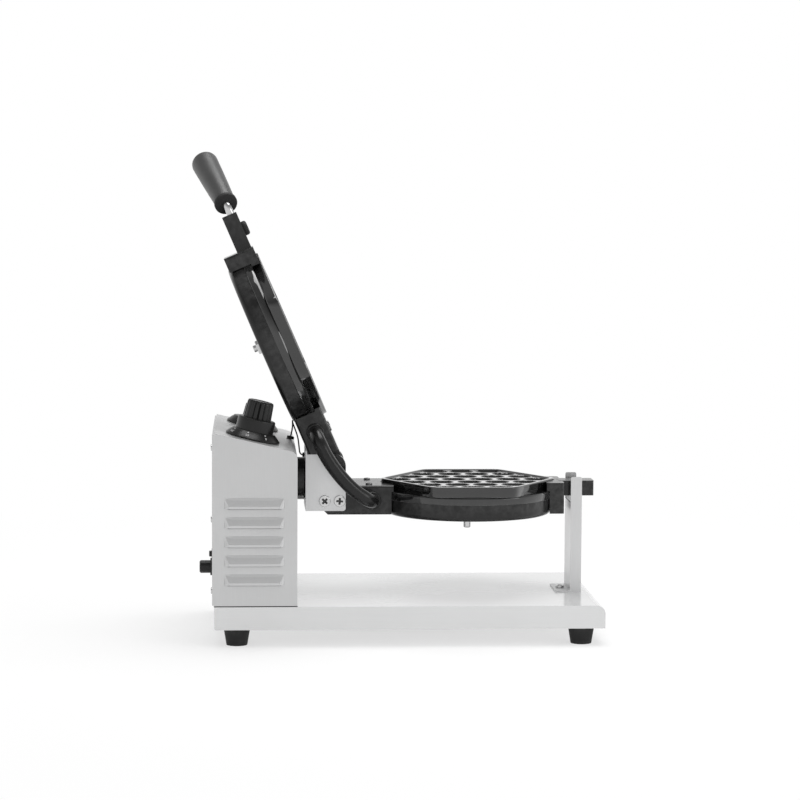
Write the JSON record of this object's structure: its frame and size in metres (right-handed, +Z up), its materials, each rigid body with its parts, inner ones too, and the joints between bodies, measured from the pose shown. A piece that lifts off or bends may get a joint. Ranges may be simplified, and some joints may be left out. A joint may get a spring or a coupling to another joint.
{
  "type": "bubble waffle maker",
  "caption": "Countertop bubble waffle maker with a hinged lid, a turning pair of honeycomb moulds, a control box with two dials, and a rest post on a tray base.",
  "frame": {"origin": "centre of the footprint, on the plane that the four rubber feet stand on", "axes": "+Z up, +X from the control box to the rest post, +Y away from the side that the conduit is on"},
  "size_m": [0.4375, 0.2424, 0.5252],
  "materials": {
    "polished_stainless": "satin",
    "box_steel": "satin",
    "bracket_steel": "satin",
    "screw_steel": "polished",
    "black_casting": "satin",
    "mould_coating": "satin",
    "foot_rubber": "matte",
    "dial_plastic": "satin",
    "grip_plastic": "satin",
    "inner_plastic": "matte",
    "heater_steel": "satin",
    "hose_black": "satin"
  },
  "bodies": {
    "base_unit": {"base_tray": "polished_stainless", "bottom_plate": "polished_stainless", "rubber_feet": "foot_rubber", "foot_screws": "screw_steel", "control_box": "box_steel", "back_cover": "box_steel", "cover_tabs": "box_steel", "cover_screws": "screw_steel", "cable_gland": "dial_plastic", "button_bush": "dial_plastic", "terminal_block": "inner_plastic", "bearing_hub": "black_casting", "bearing_plate": "box_steel", "hub_screws": "screw_steel", "rest_post": "bracket_steel", "post_screw": "screw_steel", "thermostat_body": "inner_plastic", "timer_body": "inner_plastic", "lead_grommet": "foot_rubber"},
    "mould_carrier": {"carrier_shaft": "screw_steel", "shaft_collar": "screw_steel", "hinge_bracket": "bracket_steel", "bracket_screws": "screw_steel", "lower_arm": "black_casting", "hinge_pin": "screw_steel", "lower_arm_screws": "screw_steel", "lower_mould": "mould_coating", "lower_shell": "black_casting", "lower_heater": "heater_steel", "lower_stud": "screw_steel", "lower_block": "black_casting", "lower_ferrule": "hose_black", "lead_clip": "hose_black", "earth_lead": "hose_black", "conduit": "hose_black"},
    "lid": {"upper_arm": "black_casting", "upper_arm_screws": "screw_steel", "upper_mould": "mould_coating", "upper_shell": "black_casting", "upper_heater": "heater_steel", "upper_stud": "screw_steel", "upper_block": "black_casting", "upper_ferrule": "hose_black", "bumper": "foot_rubber", "handle_rod": "screw_steel", "grip": "grip_plastic", "grip_ring": "dial_plastic"},
    "thermostat_dial": {"thermostat_skirt": "dial_plastic", "thermostat_knob": "dial_plastic", "thermostat_shaft": "screw_steel"},
    "timer_dial": {"timer_skirt": "dial_plastic", "timer_knob": "dial_plastic", "timer_shaft": "screw_steel"},
    "reset_button": {"reset_button": "dial_plastic"}
  },
  "joints": [
    {"name": "mould_roll", "type": "hinge", "parent": "base_unit", "child": "mould_carrier", "pos_m": [-0.1086, 0, 0.1642], "axis": [1, 0, 0], "range_deg": [-12, 12], "deforming": ["earth_lead"]},
    {"name": "lid_hinge", "type": "hinge", "parent": "mould_carrier", "child": "lid", "pos_m": [-0.0784, 0, 0.181], "axis": [0, 1, 0], "range_deg": [0, 113.6], "deforming": ["conduit"]},
    {"name": "thermostat_turn", "type": "hinge", "parent": "base_unit", "child": "thermostat_dial", "pos_m": [-0.1652, -0.072, 0.21459], "axis": [0.2267, 0, 0.974], "range_deg": [-270, 0]},
    {"name": "timer_turn", "type": "hinge", "parent": "base_unit", "child": "timer_dial", "pos_m": [-0.1652, 0.072, 0.21459], "axis": [0.2267, 0, 0.974], "range_deg": [-300, 0]},
    {"name": "button_press", "type": "slide", "parent": "base_unit", "child": "reset_button", "axis": [1, 0, 0], "range_m": [0, 0.0015], "stiffness_N_per_m": 400, "springref_m": -0.001}
  ]
}
